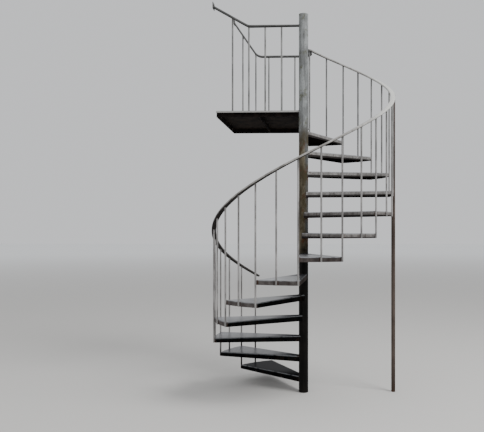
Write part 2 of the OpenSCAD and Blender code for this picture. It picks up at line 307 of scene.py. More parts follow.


# The treads are thirteen wedges of 5 mm plate with their edges bent down, welded to the
# pole across the top and down both sides. Feet and dust mark the tops, which are painted pale
# where light falls, and the bends carry a painted highlight. The sides are painted black for
# shade on the lowest treads and grey higher up, with a painted highlight along their top and
# a painted black rim of shade below.
REACH = 0.838
ROOT_HALF = 0.033
ROOT_DEEP = 0.053
TIP_DEEP = 0.041
EDGE_BEND = 0.009
SIDE = math.atan2(REACH * math.sin(SPREAD / 2) - ROOT_HALF, REACH * math.cos(SPREAD / 2))
CORNER_INSET = 0.012
WELD_GAP = 0.0003
BAR_R = 0.00795
RAIL_R = REACH + WELD_GAP + BAR_R
CORNER_TURN = SPREAD / 2 - CORNER_INSET / RAIL_R
LOWEST_TO = (0.16, 0.34)
# Heights between which the treads' curved tips are painted lighter for the light falling on them.
TIP_LIT_FROM = (0.46, 0.52)
TIP_LIT_TO = (1.0, 1.3)
GREY_FROM = (1.36, 1.46)
# Heights, and the dark and light greys of the sides above them: painted shade that lightens with height.
SIDE_BANDS = (
    ((0.95, 1.06), (0.042, 0.036, 0.035), (0.074, 0.064, 0.061)),
    (GREY_FROM, (0.108, 0.101, 0.098), (0.200, 0.189, 0.182)),
    ((1.80, 1.90), (0.172, 0.166, 0.160), (0.300, 0.292, 0.282)))
# Depth below which the grey sides carry a painted black rim of shade, and how far its edge wanders.
RIM_FROM = (0.028, 0.036)
RIM_WANDER = 0.012
TOP_MARGIN = 0.001
UP = Vector((0.0, 0.0, 1.0))


def on_circle(turn, r, z):
    return Vector((r * math.cos(turn), r * math.sin(turn), z))


def cut_end(mesh, point, along, normal, levelled=False, near=0.002):
    """Slides a rail's end face along the rail onto an upright plane, or levels and slides it."""
    side = UP.cross(along).normalized()
    lift = along.cross(side)
    for vertex in mesh.vertices:
        offset = vertex.co - point
        if abs(offset.dot(along)) > near:
            continue
        slide = along
        if levelled:
            offset = side * offset.dot(side) + UP * offset.dot(lift)
            slide = side.cross(UP)
        vertex.co = point + offset - slide * (offset.dot(normal) / slide.dot(normal))


class Recipe(Graph):
    """A Geometry Nodes tree with named inputs, which turns a drawing into a piece."""

    def __init__(self, name, inputs):
        super().__init__(bpy.data.node_groups.new(name, "GeometryNodeTree"))
        self.sockets = {}
        for label, kind in {"Geometry": "Geometry", "Paint": "Material", **inputs}.items():
            self.sockets[label] = self.tree.interface.new_socket(
                label, in_out="INPUT", socket_type="NodeSocket" + kind)
        self.tree.interface.new_socket("Geometry", in_out="OUTPUT", socket_type="NodeSocketGeometry")
        self.start = self.tree.nodes.new("NodeGroupInput")

    def given(self, label):
        return Wire(self, self.start.outputs[label])

    def end(self, shape):
        shape = self.node("GeometryNodeRealizeInstances", inputs={0: shape})
        shape = self.node("GeometryNodeSetMaterial", inputs={0: shape, "Material": self.given("Paint")})
        last = self.tree.nodes.new("NodeGroupOutput")
        self.tree.links.new(shape.socket, last.inputs[0])

    def make(self, name, drawing, slot, cuts=(), **values):
        """Runs the tree on a drawing and cuts the ends; the piece rides on the stair."""
        mesh = bpy.data.meshes.new(name)
        mesh.from_pydata(drawing.points, drawing.edges, [])
        piece = bpy.data.objects.new(name, mesh)
        bpy.context.scene.collection.objects.link(piece)
        modifier = piece.modifiers.new("recipe", "NODES")
        modifier.node_group = self.tree
        for label, value in values.items():
            modifier[self.sockets[label].identifier] = value
        graph = bpy.context.evaluated_depsgraph_get()
        mesh = bpy.data.meshes.new_from_object(piece.evaluated_get(graph), depsgraph=graph)
        piece.modifiers.clear()
        piece.data = mesh
        for cut in cuts:
            cut_end(mesh, *cut)
        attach(piece, "root")
        return piece


class Drawing:
    """Points, and the edges between them, that a recipe follows."""

    def __init__(self):
        self.points = []
        self.edges = []

    def line(self, *points):
        first = len(self.points)
        self.points += [tuple(p) for p in points]
        self.edges += [(i, i + 1) for i in range(first, len(self.points) - 1)]

    def ring(self, centre, radius, across, along, count=20):
        """A closed ring; the two directions needn't be square or of length one."""
        first = len(self.points)
        for step in range(count):
            angle = 2 * math.pi * step / count
            self.points.append(tuple(
                centre + radius * (math.cos(angle) * across + math.sin(angle) * along)))
        self.edges += [(first + i, first + (i + 1) % count) for i in range(count)]


def bead_recipe():
    """A weld bead along each line, with ripples and an uneven width."""
    recipe = Recipe("weld_bead", {
        "Bead": "Float", "Ripple": "Float", "Unevenness": "Float", "Seed": "Float"})
    line = recipe.node("GeometryNodeMeshToCurve", inputs={0: recipe.given("Geometry")})
    line = recipe.node("GeometryNodeResampleCurve", {"mode": "LENGTH"}, {
        "Curve": line, "Length": recipe.given("Ripple") * 0.45})
    along = recipe.node("GeometryNodeSplineParameter", output="Length")
    wave = along / recipe.given("Ripple") * math.pi
    ripple = wave.maths("SINE").maths("ABSOLUTE") * 0.30
    drift = recipe.node("ShaderNodeTexNoise", {"noise_dimensions": "4D"}, {
        "W": recipe.given("Seed"), "Scale": 90.0, "Detail": 2.0})
    width = 0.80 + ripple + (drift - 0.5) * recipe.given("Unevenness")
    profile = recipe.node("GeometryNodeCurvePrimitiveCircle", inputs={
        "Resolution": 6, "Radius": recipe.given("Bead")})
    bead = recipe.node("GeometryNodeCurveToMesh", inputs={
        "Curve": line, "Profile Curve": profile, "Scale": width, "Fill Caps": True})
    recipe.end(recipe.node("GeometryNodeSetShadeSmooth", inputs={0: bead}))
    return recipe


def weld_paint(name, low, high, change=(1.00, 1.45)):
    """Painted weld, darkened with painted shade below the heights where its colour changes, with rust
    breaking out.
    """
    paint = Paint(name)
    colour = paint.mottled(paint.z, *change, low, high)
    return weathered(paint, colour, 0.80, rough=0.5)


class TreadPaint(Paint):
    """The treads' paint, which knows where it is on its own tread."""

    def __init__(self):
        super().__init__("tread_paint")
        level = (self.z - FIRST_TOP - TOP_MARGIN) / RISER
        number = level.maths("CEIL")
        turn = number * STEP + tread_turn(1)
        self.cosine, self.sine = turn.maths("COSINE"), turn.maths("SINE")
        self.depth = (number - level) * RISER
        self.along = self.x * self.cosine + self.y * self.sine
        self.cross = self.y * self.cosine - self.x * self.sine
        self.off_middle = self.cross.maths("ABSOLUTE")
        self.tip = REACH - (self.along * self.along + self.cross * self.cross).maths("SQRT")
        flank = self.along * math.sin(SIDE) + (ROOT_HALF - self.off_middle) * math.cos(SIDE)
        self.edge = flank.maths("MINIMUM", self.tip)
        self.scuff = self.noise(13.0, 6.0, 0.66)
        self.streak = self.noise(1.0, 4.0, 0.6, (38.0, 38.0, 4.0))

    def scuffed(self, dark, light):
        return self.mottled(self.scuff, 0.40, 0.62, dark, light)

    def sides(self):
        """The bent-down edges, in painted light and shade: black at first, and from GREY_FROM up grey with
        a black rim.
        """
        # Painted shade: the sides of the lowest treads are near black.
        colour = self.scuffed((0.0020, 0.0023, 0.0026), (0.0060, 0.0064, 0.0064))
        for heights, dark, light in SIDE_BANDS:
            colour = self.mix(self.above(self.z, *heights), colour, self.scuffed(dark, light))
        grey = self.above(self.z, *GREY_FROM)
        # Painted shade: a black rim along the lower part of the grey sides.
        rim = self.above(self.depth + (self.scuff - 0.5) * RIM_WANDER, *RIM_FROM) * grey
        colour = self.mix(rim * 0.9, colour, (0.008, 0.006, 0.006))
        # Painted light: the curved tips of the middle treads are lighter where light falls on them.
        lit_tip = self.below(self.tip, 0.001, 0.006) * self.above(self.z, *TIP_LIT_FROM)
        lit_tip = lit_tip * self.below(self.z, *TIP_LIT_TO)
        colour = self.mix(lit_tip, colour, self.scuffed((0.072, 0.064, 0.062), (0.125, 0.115, 0.112)))
        # Painted highlight: a pale strip along the top of the grey sides.
        edge_highlight = self.below(self.depth, 0.010, 0.022) * grey
        colour = self.mix(edge_highlight * 0.6, colour, (0.215, 0.205, 0.198))
        streaked = self.above(self.streak, 0.52, 0.66) * (0.5 - self.above(self.z, 1.7, 1.9) * 0.2)
        return self.mix(streaked, colour, (0.022, 0.014, 0.010))

    def tops(self):
        """The tops: painted pale where light falls, paler where feet go, darker along the edges and by the
        pole, and painted near black for shade on the lowest treads.
        """
        broad = self.noise(3.1, 3.0, 0.5)
        colour = self.scuffed((0.040, 0.041, 0.047), (0.085, 0.085, 0.093))
        # Painted light: the tops are paler where light falls on them.
        lit = self.above(self.along, 0.20, 0.75) * self.above(self.z, 0.30, 0.90)
        colour = self.mix(lit * 0.6, colour, (0.270, 0.280, 0.295))
        walked = self.above(self.along, 0.16, 0.34) * self.below(self.along, 0.60, 0.78)
        walked = walked * self.above(self.edge, 0.01, 0.06) * self.above(broad, 0.35, 0.65)
        colour = self.mix(walked * 0.45, colour, (0.150, 0.148, 0.150))
        # Darker along the edges and by the pole.
        darker_edges = self.below(self.edge + (broad - 0.5) * 0.02, 0.004, 0.022) * 0.50
        darker_edges = darker_edges + self.below(self.along, 0.05, 0.20) * 0.55
        colour = self.mix(darker_edges, colour, (0.018, 0.015, 0.014))
        # Painted shade: the tops of the lowest treads are near black.
        return self.mix(self.below(self.z, *LOWEST_TO), colour, (0.012, 0.012, 0.013))

    def shaded_faces(self):
        """1 on a tread's underside and on the inner faces of its bent edges, where shade is painted near
        black.
        """
        facing_cross = self.facing_y * self.cosine - self.facing_x * self.sine
        facing_pole = -(self.facing_x * self.cosine) - self.facing_y * self.sine
        inner = self.above(-(self.cross * facing_cross), 0.002, 0.010)
        inner = inner.maths("MAXIMUM", self.above(facing_pole, 0.50, 0.80))
        return inner.maths("MAXIMUM", self.above(-self.up, 0.30, 0.80))

    def by_bar(self):
        """1 on the outer edge beside a bar's foot."""
        corner = self.off_middle - REACH * math.sin(CORNER_TURN)
        apart = self.off_middle.maths("MINIMUM", corner.maths("ABSOLUTE"))
        return self.below(apart, 0.007, 0.026) * self.below(self.tip, 0.001, 0.02)


def tread_paint():
    paint = TreadPaint()
    colour = paint.mix(paint.above(paint.up, 0.45, 0.90), paint.sides(), paint.tops())
    # Painted highlight: the bends along the tops' edges are paler where light catches them.
    bend = paint.above(paint.up, 0.08, 0.30) * paint.below(paint.up, 0.93, 0.99)
    edge_highlight = bend * paint.above(paint.scuff, 0.30, 0.50)
    colour = paint.mix(edge_highlight * 0.65, colour, (0.300, 0.310, 0.325))
    # Painted shade: undersides and the inner faces of the bent edges are near black.
    colour = paint.mix(paint.shaded_faces(), colour, (0.005, 0.004, 0.004))
    by_bar = paint.by_bar()
    run = by_bar * paint.above(paint.streak, 0.42, 0.60)
    colour = paint.mix(run * 0.6, colour, (0.075, 0.032, 0.015))
    by_pole = paint.below(paint.along, 0.05, 0.13)
    chipped = paint.below(paint.edge, 0.001, 0.010)
    rust = by_pole * 0.25 + by_bar * 0.30 + chipped * 0.25 + 0.20
    trodden = paint.above(paint.up, 0.80, 0.97) * paint.above(paint.along, 0.08, 0.40)
    trodden = trodden * paint.above(paint.z, 0.05, 0.40)
    return weathered(paint, colour, rust, rough=0.36, shine=0.0, polish=trodden)


dress(tread_paint(), *["tread_%02d" % number for number in range(1, TREADS + 1)])

ROOT_BEAD = 0.0028


def meets_pole(inset):
    """Direction, off a tread's middle line, where a line inside its edge meets the pole."""
    start = ROOT_HALF - inset / math.cos(SIDE)
    run = math.sqrt(POLE_R ** 2 - (start * math.cos(SIDE)) ** 2) - start * math.sin(SIDE)
    return math.atan2(start + run * math.sin(SIDE), run * math.cos(SIDE))


def root_weld(number, arc_steps=14, bend_steps=4):
    """The line of a tread's weld: up one side, over the plate and down the other side."""
    turn, top = tread_turn(number), tread_top(number)
    flank = [(meets_pole(0.0), top - ROOT_DEEP + ROOT_BEAD)]
    for step in range(bend_steps + 1):
        angle = math.pi / 2 * step / bend_steps
        height = top - EDGE_BEND * (1 - math.sin(angle)) + ROOT_BEAD * 0.3
        flank.append((meets_pole(EDGE_BEND * (1 - math.cos(angle))), height))
    spread, height = flank[-1]
    over = [(spread * (1 - 2 * step / arc_steps), height) for step in range(1, arc_steps)]
    line = flank + over + [(-a, z) for a, z in reversed(flank)]
    return [on_circle(turn + a, POLE_R + ROOT_BEAD * 0.3, z) for a, z in line]


weld_bead = bead_recipe()
dark_weld = weld_paint("dark_weld_paint", (0.007, 0.006, 0.006), (0.080, 0.070, 0.060))
root_welds = Drawing()
for number in range(1, TREADS + 1):
    root_welds.line(*root_weld(number))
weld_bead.make("tread_welds", root_welds, "tread_paint",
               Paint=dark_weld, Bead=ROOT_BEAD, Ripple=0.0036, Unevenness=0.5, Seed=1.0)


# The support post is a 38 mm pipe that stands just outside the tenth tread. It is welded to
# that tread's edge and carries the handrail on its slanting top. Its paint is brown-grey,
# with dirt and rust climbing from the foot.
def post_paint():
    paint = Paint("post_paint")
    blotch = paint.noise(8.0, 6.0, 0.62, (1.0, 1.0, 0.4))
    streak = paint.noise(1.0, 5.0, 0.6, (60.0, 60.0, 2.0))
    colour = paint.mottled(blotch, 0.38, 0.62, (0.046, 0.033, 0.026), (0.092, 0.070, 0.058))
    colour = paint.mix(paint.above(paint.z, 1.6, 2.4) * 0.7, colour, (0.064, 0.052, 0.048))
    colour = paint.mix(paint.above(streak, 0.50, 0.64) * 0.5, colour, (0.018, 0.012, 0.010))
    foot = paint.below(paint.z + (blotch - 0.5) * 0.1, 0.01, 0.14)
    colour = paint.mix(foot * 0.8, colour, (0.030, 0.018, 0.011))
    return weathered(paint, colour, foot * 0.6 + 0.35)


dress(post_paint(), "support_post")

POST_R = 0.01905
POST_TURN = math.radians(360.0 + 3.2)
POST_REACH = REACH + WELD_GAP + POST_R
POST_TREAD = 10
# The rail's line climbs from RAIL_FOOT over the second tread to GUARD over the landing, and
# the rail's underside is RAIL_UNDER below it.
GUARD = 3.5
RAIL_UNDER = 0.0167
RAIL_TO = LAST_BACK - CORNER_INSET / RAIL_R
RAIL_FOOT = 0.835
CLIMB = (GUARD - tread_top(2) - RAIL_FOOT) / ((TREADS - 1) * STEP)
SLOPE = math.atan(CLIMB / RAIL_R)
CAP_WIDTH = 0.042
CAP_THICK = 0.019
# A bead's middle line stands a little off the corner that it fills, and stops short of ends.
POST_BEAD = 0.0026
BEAD_PROUD = 0.0005
BEAD_OUT = 0.0004
BEAD_DROP = 0.0006
WELD_SHORT = 0.003
# The seam on the post's top runs along the cap's outer edge, then round under the cap, in
# degrees from the outside.
SEAM_SHORT = 0.002
SEAM_LIFT = 0.0008
SEAM_FROM = 72
SEAM_SWEEP = 216
SEAM_STEPS = 20


def rail_height(turn):
    """Height of the handrail's line, which the caps and the cut tops are set off from."""
    return GUARD - CLIMB * (RAIL_TO - turn)


def outward(turn):
    """Level direction away from the pole."""
    return Vector((math.cos(turn), math.sin(turn), 0.0))


def onward(turn, climb=0.0):
    """Direction round the pole, with so much climb for each metre."""
    return Vector((-math.sin(turn), math.cos(turn), climb))


def rail_seat(turn, reach, drop=0.0):
    """The middle of a slanting top under the handrail, or a point so far below it."""
    return on_circle(turn, reach, rail_height(turn) - RAIL_UNDER / math.cos(SLOPE) - drop)


def edge_welds(drawing, turn, top, apart, proud, short):
    """Two upright welds on a tread's outer edge, one each side of what is welded to it."""
    for side in (-1, 1):
        touch = on_circle(turn + side * apart / REACH, REACH + proud, 0.0)
        drawing.line(touch + UP * (top - TIP_DEEP + WELD_SHORT), touch + UP * (top - short))


post_welds = Drawing()
edge_welds(post_welds, POST_TURN, tread_top(POST_TREAD), apart=0.0062, proud=0.001, short=0.007)
post_seat = rail_seat(POST_TURN, POST_REACH)
across, uphill = outward(POST_TURN), onward(POST_TURN, math.tan(SLOPE))
cap_edge = RAIL_R + CAP_WIDTH / 2 + BEAD_PROUD - POST_REACH
chord = math.sqrt(POST_R ** 2 - cap_edge ** 2) - SEAM_SHORT
post_welds.line(*[post_seat + across * cap_edge + uphill * chord * share + UP * SEAM_LIFT
                  for share in (-1, 0, 1)])
under_cap = [math.radians(SEAM_FROM + SEAM_SWEEP * step / SEAM_STEPS) for step in range(SEAM_STEPS + 1)]
spokes = [across * math.cos(a) + uphill * math.sin(a) for a in under_cap]
post_welds.line(*[post_seat + spoke * (POST_R + BEAD_OUT) - UP * BEAD_DROP for spoke in spokes])
weld_bead.make("post_welds", post_welds, "post_paint",
               Paint=dark_weld, Bead=POST_BEAD, Ripple=0.0034, Unevenness=0.5, Seed=2.0)


# The balusters are 16 mm round bars. Two stand on the outer edge of each tread, welded to
# it down both sides, and are cut to the handrail's slope and welded round at the top. Their
# grey paint is thin and darker high up, and painted black for shade at the lowest treads.
def bar_paint():
    paint = Paint("bar_paint")
    blotch = paint.noise(16.0, 6.0, 0.62, (1.0, 1.0, 0.30))
    streak = paint.noise(1.0, 5.0, 0.6, (90.0, 90.0, 3.0))
    colour = paint.mottled(blotch, 0.38, 0.62, (0.180, 0.174, 0.171), (0.340, 0.331, 0.326))
    high = paint.mottled(blotch, 0.38, 0.62, (0.110, 0.111, 0.108), (0.230, 0.231, 0.226))
    colour = paint.mix(paint.above(paint.z, 1.9, 2.7), colour, high)
    # Painted shade: the bars are near black at the lowest treads.
    colour = paint.mix(paint.below(paint.z, 0.30, 0.52), colour, (0.012, 0.010, 0.010))
    colour = paint.mix(paint.above(streak, 0.54, 0.66) * 0.45, colour, (0.030, 0.018, 0.012))
    return weathered(paint, colour, 0.32)


painted_bars = bar_paint()
dress(painted_bars, *["balusters_%02d" % number for number in range(1, TREADS + 1)])

BAR_BEAD = 0.0019
grey_weld = weld_paint("grey_weld_paint", (0.014, 0.012, 0.011), (0.120, 0.112, 0.104))
bar_welds = Drawing()
for number in range(1, TREADS + 1):
    middle = tread_turn(number)
    for turn in (middle, middle + CORNER_TURN):
        edge_welds(bar_welds, turn, tread_top(number), apart=0.0042, proud=0.0006, short=0.008)
        head = rail_seat(turn, RAIL_R, BEAD_DROP)
        bar_welds.ring(head, BAR_R + BEAD_OUT, outward(turn), onward(turn, math.tan(SLOPE)))
weld_bead.make("baluster_welds", bar_welds, "bar_paint",
               Paint=grey_weld, Bead=BAR_BEAD, Ripple=0.0030, Unevenness=0.6, Seed=3.0)


# The handrail is a flat steel cap, 42 by 19 mm with rounded edges, rolled to a helix and
# welded to the bars' slanting tops from a closed end beside the first tread to a mitre at
# the landing. It is pale, with its top painted lighter and a painted highlight on the right,
# and it is painted dark for shade underneath and in its first turn.
CAP_EDGE = 0.006
RAIL_START_RUN = 0.045
RAIL_FROM = tread_turn(1) - RAIL_START_RUN / RAIL_R
RAIL_STEPS = 150
END_EASING = 0.004
END_NARROWING = 0.15


def cap_recipe():
    """A flat rail along each line, level across its width and eased at its first end."""
    recipe = Recipe("cap_rail", {
        "Width": "Float", "Thickness": "Float", "Edge": "Float", "Under": "Float", "Easing": "Float"})
    line = recipe.node("GeometryNodeMeshToCurve", inputs={0: recipe.given("Geometry")})
    line = recipe.node("GeometryNodeSetCurveNormal", {"mode": "Z_UP"}, {"Curve": line})
    along = recipe.node("GeometryNodeSplineParameter", output="Length")
    inside = along / recipe.given("Easing")
    short = 1.0 - inside.maths("MINIMUM", 1.0)
    profile = recipe.node("GeometryNodeCurvePrimitiveQuadrilateral", inputs={
        "Width": recipe.given("Width"), "Height": recipe.given("Thickness")})
    profile = recipe.node("GeometryNodeFilletCurve", {"mode": "POLY"}, {
        "Curve": profile, "Count": 4, "Radius": recipe.given("Edge"), "Limit Radius": True})
    drop = recipe.node("ShaderNodeCombineXYZ", inputs={
        "Y": recipe.given("Under") - recipe.given("Thickness") * 0.5})
    profile = recipe.node("GeometryNodeTransform", inputs={"Geometry": profile, "Translation": drop})
    width = 1.0 - short * short * END_NARROWING
    cap = recipe.node("GeometryNodeCurveToMesh", inputs={
        "Curve": line, "Profile Curve": profile, "Scale": width, "Fill Caps": True})
    recipe.end(recipe.node("GeometryNodeSetShadeSmooth", inputs={0: cap}))
    return recipe


def rail_paint():
    paint = Paint("rail_paint")
    blotch = paint.noise(12.0, 6.0, 0.64)
    side = paint.mottled(blotch, 0.36, 0.62, (0.180, 0.172, 0.160), (0.360, 0.348, 0.330))
    crown = paint.mottled(blotch, 0.30, 0.60, (0.230, 0.222, 0.214), (0.360, 0.350, 0.338))
    # Painted light: the top is lighter than the sides, as it catches the sky.
    colour = paint.mix(paint.above(paint.up, 0.10, 0.80), side, crown)
    # Painted highlight: the rail is palest on the right.
    colour = paint.mix(paint.above(paint.x, 0.50, 0.78), colour, (0.520, 0.520, 0.492))
    # Painted shade: the rail's first turn and lowest part are near black.
    first_turn = paint.below(paint.x, -0.80, -0.55) * paint.below(paint.z, 1.75, 2.0)
    first_turn = first_turn.maths("MAXIMUM", paint.below(paint.z, 1.20, 1.42))
    colour = paint.mix(first_turn * 0.8, colour, (0.022, 0.018, 0.016))
    # Painted shade: the underside is near black.
    colour = paint.mix(paint.above(-paint.up, 0.10, 0.60) * 0.95, colour, (0.016, 0.013, 0.012))
    landing = paint.above(paint.z, 3.40, 3.50) * paint.below(paint.x, -0.02, 0.10)
    colour = paint.mix(landing * 0.85, colour, (0.045, 0.047, 0.047))
    polished = paint.above(paint.up, 0.50, 0.90) * (1.0 - first_turn)
    return weathered(paint, colour, 0.30, rough=0.34, polish=polished * 0.7)


painted_rail = rail_paint()
HANDRAILS = ["handrail_%d" % length for length in range(1, 7)]
dress(painted_rail, *HANDRAILS)

cap = cap_recipe()
cap_size = {"Width": CAP_WIDTH, "Thickness": CAP_THICK, "Edge": CAP_EDGE, "Under": RAIL_UNDER}
rail_corner = on_circle(RAIL_TO, RAIL_R, GUARD)
last_onward = onward(RAIL_TO, math.tan(SLOPE)).normalized()
mitre = onward(RAIL_TO) + Vector((0.0, 1.0, 0.0))
eased = math.cos(SLOPE) / RAIL_R * END_EASING
turns = [RAIL_FROM + eased * share for share in (0.0, 0.12, 0.35, 1.0)]
turns += [RAIL_FROM + (RAIL_TO - RAIL_FROM) * step / RAIL_STEPS for step in range(1, RAIL_STEPS + 1)]
helix = Drawing()
helix.line(*[on_circle(turn, RAIL_R, rail_height(turn)) for turn in turns])
handrail = cap.make("handrail", helix, "rail_paint", cuts=[(rail_corner, last_onward, mitre, True)],
                    Paint=painted_rail, Easing=END_EASING, **cap_size)
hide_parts(*HANDRAILS)


# The landing is a frame of 50 by 8 mm flat bars on edge, stitch-welded under a 6 mm deck
# plate with its free edges bent down. It is welded to the pole at one corner, and its wall
# bar has two hex bolts. Underneath, it is painted brown and black for the shade there.
BEAM_THICK = 0.008
edge_low, edge_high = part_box("landing_edge_beams")
cross_low, cross_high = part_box("landing_cross_beams")
BEAM_FOOT = edge_low.z
DECK_UNDER = edge_high.z
DECK_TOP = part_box("landing_deck")[1].z
BEAMS_Y = ((edge_low.y, edge_low.y + BEAM_THICK), (edge_high.y - BEAM_THICK, edge_high.y))
CROSS_X = ((cross_low.x, cross_low.x + BEAM_THICK), (cross_high.x - BEAM_THICK, cross_high.x))
WALL_BAR_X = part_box("landing_wall_bar")[1].x
WALL_BOLTS_Y = (0.205, 0.905)
LIP_PALE_FROM = (2.664, 2.668)
DECK_PALE_FROM = (2.681, 2.684)
COLLAR_BEAD = 0.001
COLLAR_TURNS = (math.radians(84.8), math.radians(193.0))
COLLAR_STEPS = 24
STITCH = 0.035
STITCH_PITCH = 0.200
STITCH_HEIGHT = DECK_UNDER - BEAD_PROUD
EDGE_STITCHES = (-0.750, 4)
CROSS_STITCHES = (0.120, 5)


def deck_paint():
    paint = Paint("deck_paint")
    scuff = paint.noise(11.0, 6.0, 0.66)
    broad = paint.noise(2.6, 4.0, 0.6)
    colour = paint.mottled(scuff, 0.38, 0.62, (0.125, 0.122, 0.118), (0.240, 0.236, 0.228))
    colour = paint.mix(paint.above(broad, 0.45, 0.65) * 0.4, colour, (0.060, 0.052, 0.042))
    # Painted light and shade: the lip's top strip is pale where light catches it, and below it is near
    # black.
    lip = paint.below(paint.up, 0.55, 0.95)
    colour = paint.mix(lip * paint.above(paint.z, *LIP_PALE_FROM), colour, (0.300, 0.296, 0.284))
    colour = paint.mix(lip * paint.below(paint.z, *LIP_PALE_FROM), colour, (0.010, 0.008, 0.008))
    # Painted shade: the deck's underside is brown-black.
    underneath = paint.mottled(scuff, 0.36, 0.60, (0.005, 0.004, 0.004), (0.019, 0.014, 0.011))
    colour = paint.mix(paint.above(-paint.up, 0.20, 0.60), colour, underneath)
    return weathered(paint, colour, 0.34, rough=0.36, shine=0.05)


def frame_paint():
    paint = Paint("frame_paint")
    scuff = paint.noise(11.0, 6.0, 0.66)
    # Painted shade: the frame under the deck is near black.
    colour = paint.mottled(scuff, 0.40, 0.64, (0.004, 0.003, 0.003), (0.015, 0.011, 0.009))
    return weathered(paint, colour, 0.42, shine=0.04)


dress(deck_paint(), "landing_deck")
dress(frame_paint(), "landing_edge_beams", "landing_cross_beams", "landing_wall_bar")

landing_welds = Drawing()


def upright_weld(x, y):
    """A weld up a beam's end, short of its foot and of the deck."""
    landing_welds.line((x, y, BEAM_FOOT + WELD_SHORT), (x, y, DECK_UNDER - WELD_SHORT))


def stitches(first, count):
    """Where each weld of a row begins."""
    return [first + STITCH_PITCH * stitch for stitch in range(count)]


collar = [COLLAR_TURNS[0] + (COLLAR_TURNS[1] - COLLAR_TURNS[0]) * step / COLLAR_STEPS
          for step in range(COLLAR_STEPS + 1)]
landing_welds.line(*[
    on_circle(turn, POLE_R + COLLAR_BEAD, DECK_TOP + COLLAR_BEAD) for turn in collar])
for y in BEAMS_Y[0]:
    upright_weld(-math.sqrt(POLE_R ** 2 - y ** 2), y)
for x in CROSS_X[1]:
    upright_weld(x, math.sqrt(POLE_R ** 2 - x ** 2))
for x in (*CROSS_X[0], CROSS_X[1][0], WALL_BAR_X):
    if x < CROSS_X[1][0]:
        upright_weld(x, BEAMS_Y[0][1])
    upright_weld(x, BEAMS_Y[1][0])
for y in (*BEAMS_Y[0], *BEAMS_Y[1]):
    for x in stitches(*EDGE_STITCHES):
        landing_welds.line((x, y, STITCH_HEIGHT), (x + STITCH, y, STITCH_HEIGHT))
for x in (*CROSS_X[0], *CROSS_X[1]):
    for y in stitches(*CROSS_STITCHES):
        landing_welds.line((x, y, STITCH_HEIGHT), (x, y + STITCH, STITCH_HEIGHT))
frame_weld = weld_paint(
    "frame_weld_paint", (0.009, 0.007, 0.006), (0.085, 0.078, 0.070), change=DECK_PALE_FROM)
weld_bead.make("landing_welds", landing_welds, "frame_paint",
               Paint=frame_weld, Bead=POST_BEAD, Ripple=0.0036, Unevenness=0.5, Seed=4.0)


def fastener_recipe():
    """One fastener at each point, facing +X, with a roll of its own."""
    recipe = Recipe("fasteners", {"Fastener": "Object", "Seed": "Int"})
    fastener = recipe.node("GeometryNodeObjectInfo", inputs={
        "Object": recipe.given("Fastener")}, output="Geometry")
    # Input 3 and output 1 are the highest value and the result for a number.
    roll = recipe.node("FunctionNodeRandomValue", {"data_type": "FLOAT"}, {
        3: math.pi, "Seed": recipe.given("Seed")}, output=1)
    roll = recipe.node("ShaderNodeCombineXYZ", inputs={"X": roll})
    recipe.end(recipe.node("GeometryNodeInstanceOnPoints", inputs={
        "Points": recipe.given("Geometry"), "Instance": fastener, "Rotation": roll}))
    return recipe


def turned(shape, profile, sides):
    """Adds a closed solid turned about +X: (distance along X, radius) from end to end."""
    rings = []
    for x, r in profile:
        angles = [2 * math.pi * i / sides for i in range(sides if r > 0 else 1)]
        rings.append([shape.verts.new((x, r * math.cos(a), r * math.sin(a))) for a in angles])
    for one, two in zip(rings, rings[1:]):
        for i in range(sides):
            j = (i + 1) % sides
            corners = [one[i % len(one)], one[j % len(one)], two[j % len(two)], two[i % len(two)]]
            shape.faces.new(list(dict.fromkeys(corners)))


def fastener_object(name, paint, *solids):
    """A painted fastener to be placed, made of turned solids."""
    shape = bmesh.new()
    for profile, sides in solids:
        turned(shape, profile, sides)
    bmesh.ops.recalc_face_normals(shape, faces=shape.faces)
    mesh = bpy.data.meshes.new(name)
    shape.to_mesh(mesh)
    shape.free()
    mesh.materials.append(paint)
    return bpy.data.objects.new(name, mesh)


def bolt_paint():
    paint = Paint("bolt_paint")
    colour = paint.mottled(paint.noise(60.0), 0.40, 0.60, (0.035, 0.030, 0.026), (0.085, 0.075, 0.066))
    return weathered(paint, colour, 0.95, rough=0.5)


rusty_bolt = bolt_paint()
fasteners = fastener_recipe()
washer_profile = [(0.0, 0.0), (0.0, 0.0120), (0.0022, 0.0120), (0.0025, 0.0117), (0.0025, 0.0)]
head_profile = [(0.0025, 0.0), (0.0025, 0.0109), (0.0094, 0.0109), (0.0102, 0.0098), (0.0102, 0.0)]
hex_bolt = fastener_object("hex_bolt", rusty_bolt, (washer_profile, 32), (head_profile, 6))
bolt_points = Drawing()
bolt_points.points = [(WALL_BAR_X, y, (BEAM_FOOT + DECK_UNDER) / 2) for y in WALL_BOLTS_Y]
fasteners.make("wall_bolts", bolt_points, "frame_paint", Paint=rusty_bolt, Fastener=hex_bolt, Seed=5)


# The landing's rails are the handrail's cap, bent to a 100 mm radius. The front one is
# welded to the pole, the back one goes on from the handrail's mitre, and both climb to
# small screwed plates at their far ends. Their bars stand on the deck, welded all round.
FRONT_Y = 0.005
BACK_Y = 1.105
RAIL_BEND = 0.100
PLATE = 0.006
FRONT_START = (-0.025, FRONT_Y, GUARD)
# How far from the pole a rail bends up and ends, and how much it climbs in between.
FRONT_RUN = {"y": FRONT_Y, "bend": 0.527, "end": 0.868, "climb": 0.190}
BACK_RUN = {"y": BACK_Y, "bend": 0.568, "end": 0.840, "climb": 0.385}
CLIMB_STEPS = 12
CORNER_STEPS = 15
NO_EASING = 1e-6
